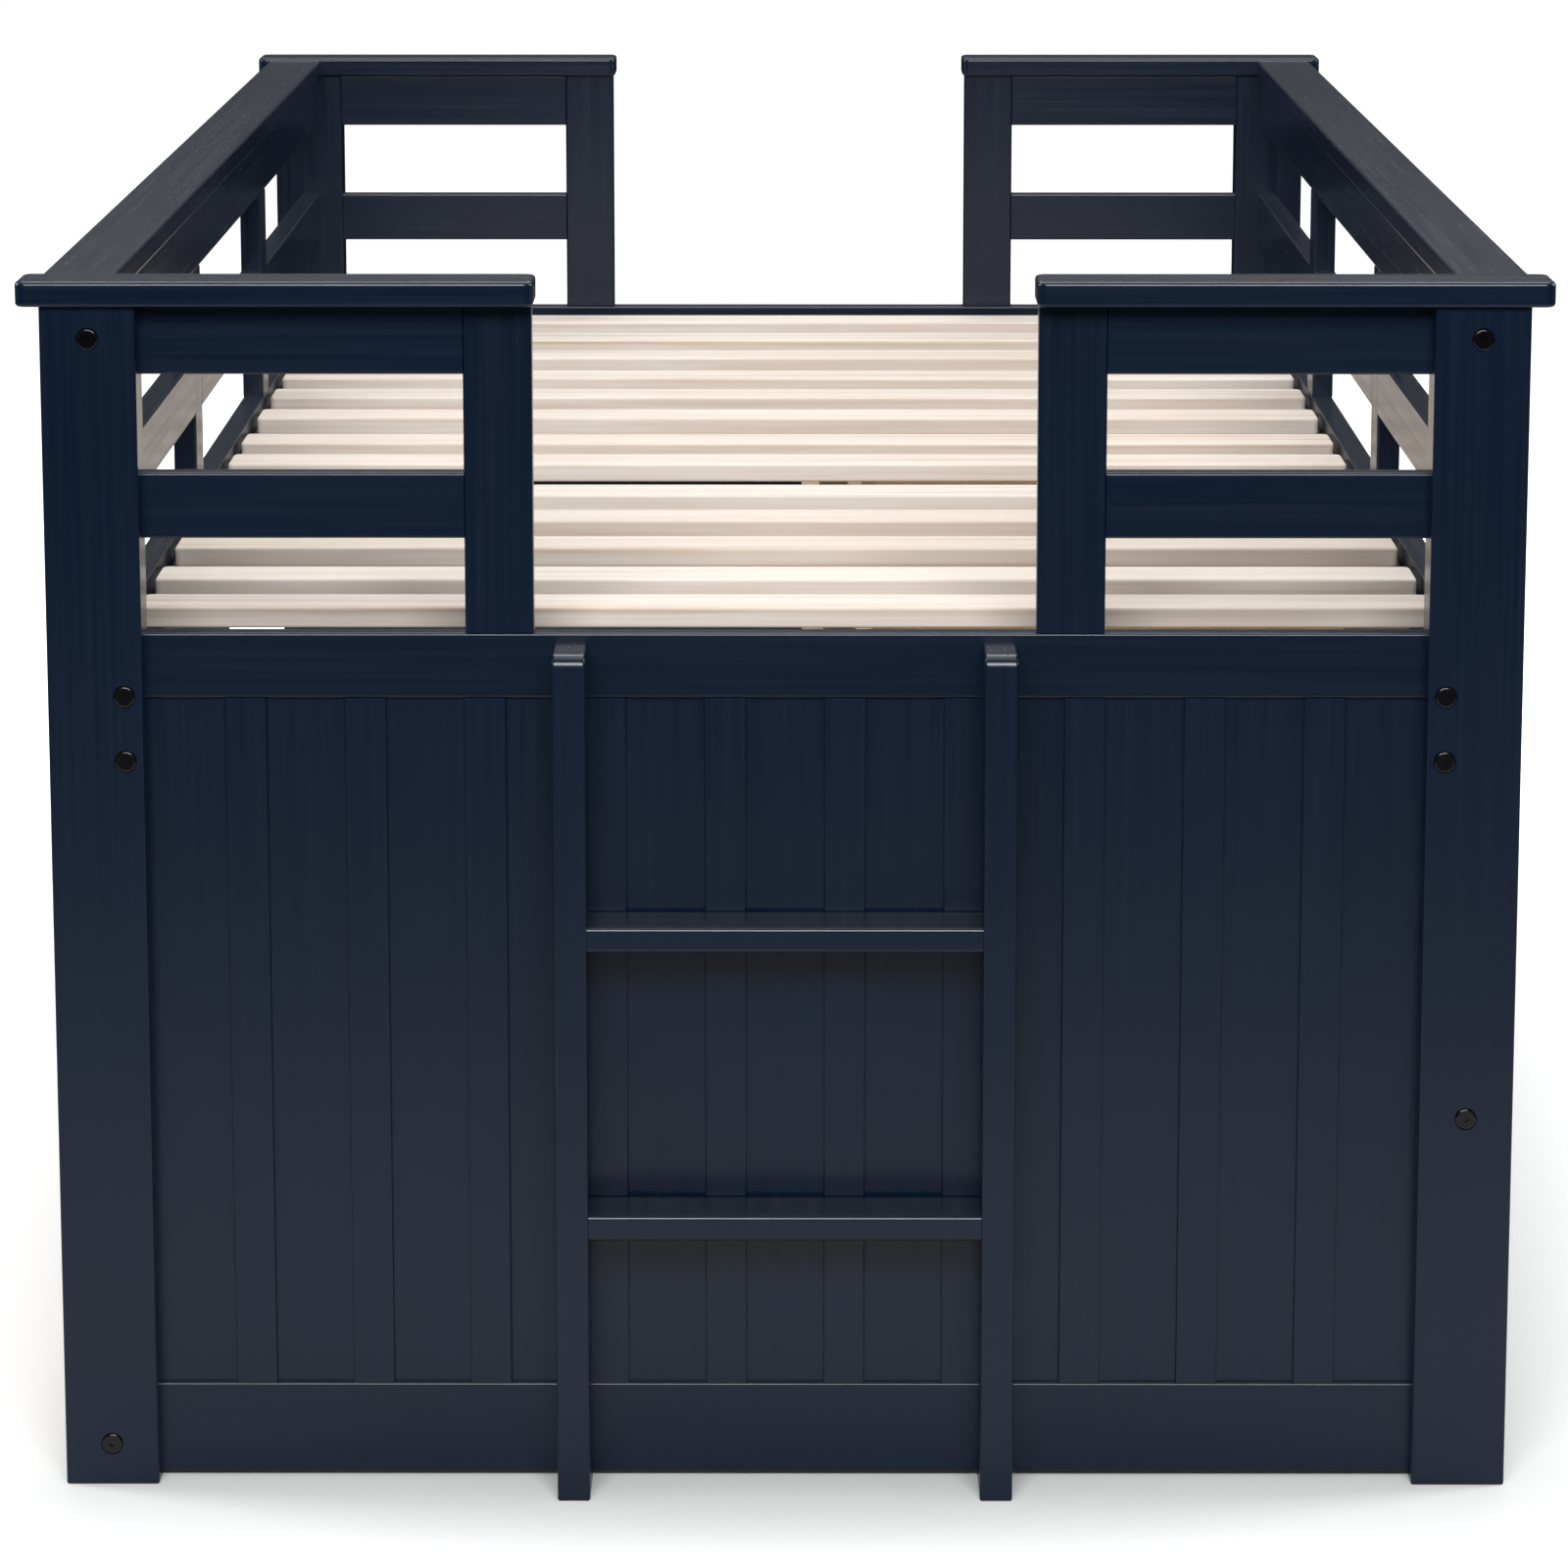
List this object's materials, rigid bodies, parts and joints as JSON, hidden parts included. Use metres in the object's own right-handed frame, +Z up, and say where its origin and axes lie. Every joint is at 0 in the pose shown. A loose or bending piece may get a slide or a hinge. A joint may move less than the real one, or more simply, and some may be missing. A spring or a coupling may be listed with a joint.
{
  "type": "captains bed",
  "caption": "Painted wooden captains bed with panelled ends, railed guards, a slatted deck, an end ladder, drawers on runners and a trundle on casters.",
  "frame": {"origin": "on the floor, under the middle of the whole object's box, ladder and caps included", "axes": "+X across the bed to the drawer side, +Y along the bed from the ladder end to the rear end, +Z up"},
  "size_m": [1.15, 2.056, 0.94],
  "materials": {
    "navy_painted_wood": "satin dark navy paint",
    "slat_wood": "bare pale softwood",
    "dowel_wood": "bare hardwood",
    "case_board": "clear lacquered plywood",
    "black_bolt": "gloss black",
    "zinc_steel": "zinc plated",
    "dark_knob": "satin black",
    "wheel_plastic": "moulded"
  },
  "bodies": {
    "bed_frame": {"front_left_post": "navy_painted_wood", "front_right_post": "navy_painted_wood", "front_top_rail": "navy_painted_wood", "front_bottom_rail": "navy_painted_wood", "front_panel": "navy_painted_wood", "front_battens": "navy_painted_wood", "front_guard_rails": "navy_painted_wood", "front_guard_stiles": "navy_painted_wood", "front_caps": "navy_painted_wood", "rear_left_post": "navy_painted_wood", "rear_right_post": "navy_painted_wood", "rear_top_rail": "navy_painted_wood", "rear_bottom_rail": "navy_painted_wood", "rear_panel": "navy_painted_wood", "rear_battens": "navy_painted_wood", "rear_guard_rails": "navy_painted_wood", "rear_guard_stiles": "navy_painted_wood", "rear_caps": "navy_painted_wood", "left_side_rail": "navy_painted_wood", "left_guard_rails": "navy_painted_wood", "left_guard_stiles": "navy_painted_wood", "left_cap": "navy_painted_wood", "left_ledger": "navy_painted_wood", "right_side_rail": "navy_painted_wood", "right_guard_rails": "navy_painted_wood", "right_guard_stiles": "navy_painted_wood", "right_cap": "navy_painted_wood", "right_ledger": "navy_painted_wood", "left_low_rail": "navy_painted_wood", "right_mid_rail": "navy_painted_wood", "drawer_dividers": "navy_painted_wood", "ladder_stiles": "navy_painted_wood", "ladder_treads": "navy_painted_wood", "bed_slats": "slat_wood", "slat_pins": "dowel_wood", "ladder_bolts": "black_bolt", "frame_bolts": "black_bolt", "barrel_nuts": "zinc_steel", "dowels": "dowel_wood", "case_deck": "case_board", "case_back": "case_board", "case_sides": "case_board", "deck_cleats": "slat_wood", "drawer_runners": "dowel_wood"},
    "front_drawer": {"front_drawer_face": "navy_painted_wood", "front_drawer_box": "case_board", "front_drawer_knobs": "dark_knob"},
    "middle_drawer": {"middle_drawer_face": "navy_painted_wood", "middle_drawer_box": "case_board", "middle_drawer_knobs": "dark_knob"},
    "rear_drawer": {"rear_drawer_face": "navy_painted_wood", "rear_drawer_box": "case_board", "rear_drawer_knobs": "dark_knob"},
    "trundle": {"trundle_face": "navy_painted_wood", "trundle_frame": "case_board", "trundle_slats": "slat_wood", "trundle_knobs": "dark_knob", "trundle_casters": "zinc_steel"},
    "trundle_left_wheels": {"trundle_left_wheels": "wheel_plastic"},
    "trundle_right_wheels": {"trundle_right_wheels": "wheel_plastic"}
  },
  "joints": [
    {"name": "front_drawer_slide", "type": "slide", "parent": "bed_frame", "child": "front_drawer", "axis": [1, 0, 0], "range_m": [0, 0.34]},
    {"name": "middle_drawer_slide", "type": "slide", "parent": "bed_frame", "child": "middle_drawer", "axis": [1, 0, 0], "range_m": [0, 0.34]},
    {"name": "rear_drawer_slide", "type": "slide", "parent": "bed_frame", "child": "rear_drawer", "axis": [1, 0, 0], "range_m": [0, 0.34]},
    {"name": "trundle_roll", "type": "slide", "parent": "bed_frame", "child": "trundle", "axis": [1, 0, 0], "range_m": [0, 0.95]},
    {"name": "left_wheels_turn", "type": "hinge", "parent": "trundle", "child": "trundle_left_wheels", "pos_m": [-0.43, 0.015, 0.025], "axis": [0, 1, 0], "continuous": true},
    {"name": "right_wheels_turn", "type": "hinge", "parent": "trundle", "child": "trundle_right_wheels", "pos_m": [0.4525, 0.015, 0.025], "axis": [0, 1, 0], "continuous": true}
  ],
  "couplings": [
    {"joint": "left_wheels_turn", "follows": "trundle_roll", "rad_per_m": 40},
    {"joint": "right_wheels_turn", "follows": "trundle_roll", "rad_per_m": 40}
  ]
}
